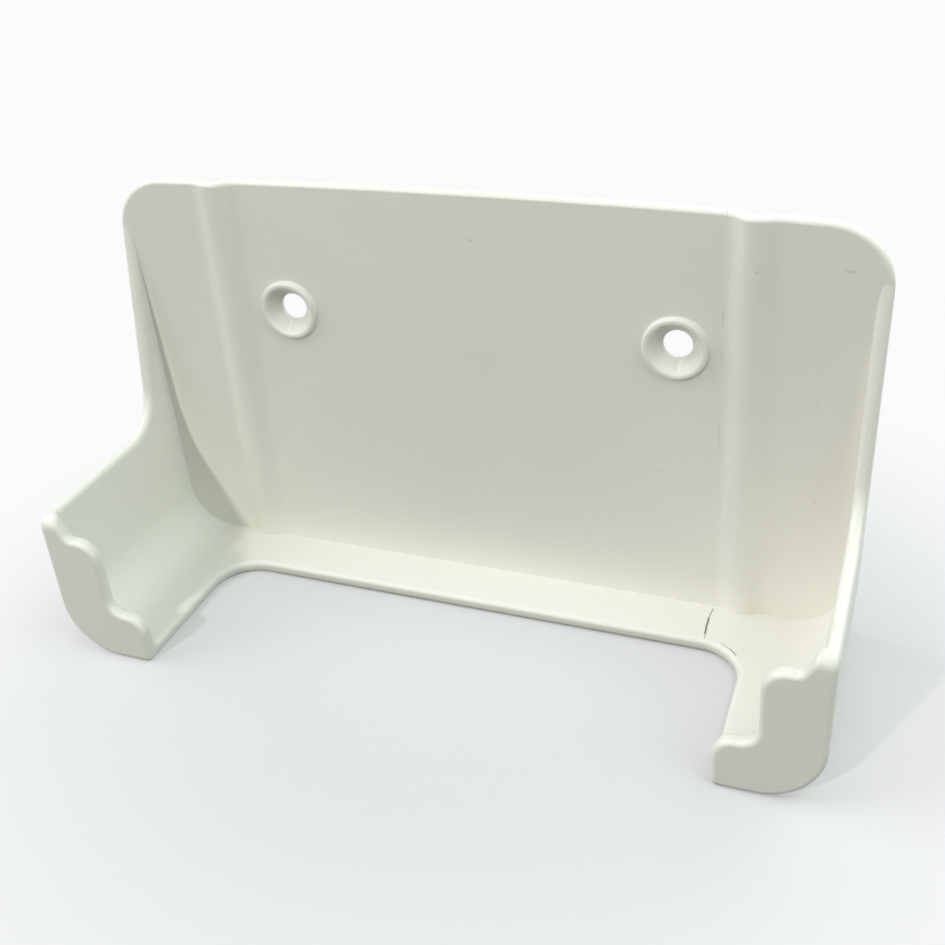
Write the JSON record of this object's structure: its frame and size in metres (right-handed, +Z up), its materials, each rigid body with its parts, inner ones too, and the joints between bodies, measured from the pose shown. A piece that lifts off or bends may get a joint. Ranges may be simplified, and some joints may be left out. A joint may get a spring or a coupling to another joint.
{
  "type": "pump controller mount",
  "caption": "Screw-fixed wall mount whose trough-shaped arms hold a pump's hand controller by its lower corners, open in the middle.",
  "frame": {"origin": "midway between the axes of the two screw holes, on the face that meets the wall", "axes": "+X to the right as seen by someone facing the wall, +Y into the wall, +Z up"},
  "size_m": [0.1222, 0.0383, 0.0692],
  "materials": {
    "moulded_plastic": "satin off-white moulded plastic"
  },
  "bodies": {
    "root": {"mount_body": "moulded_plastic"}
  },
  "joints": []
}
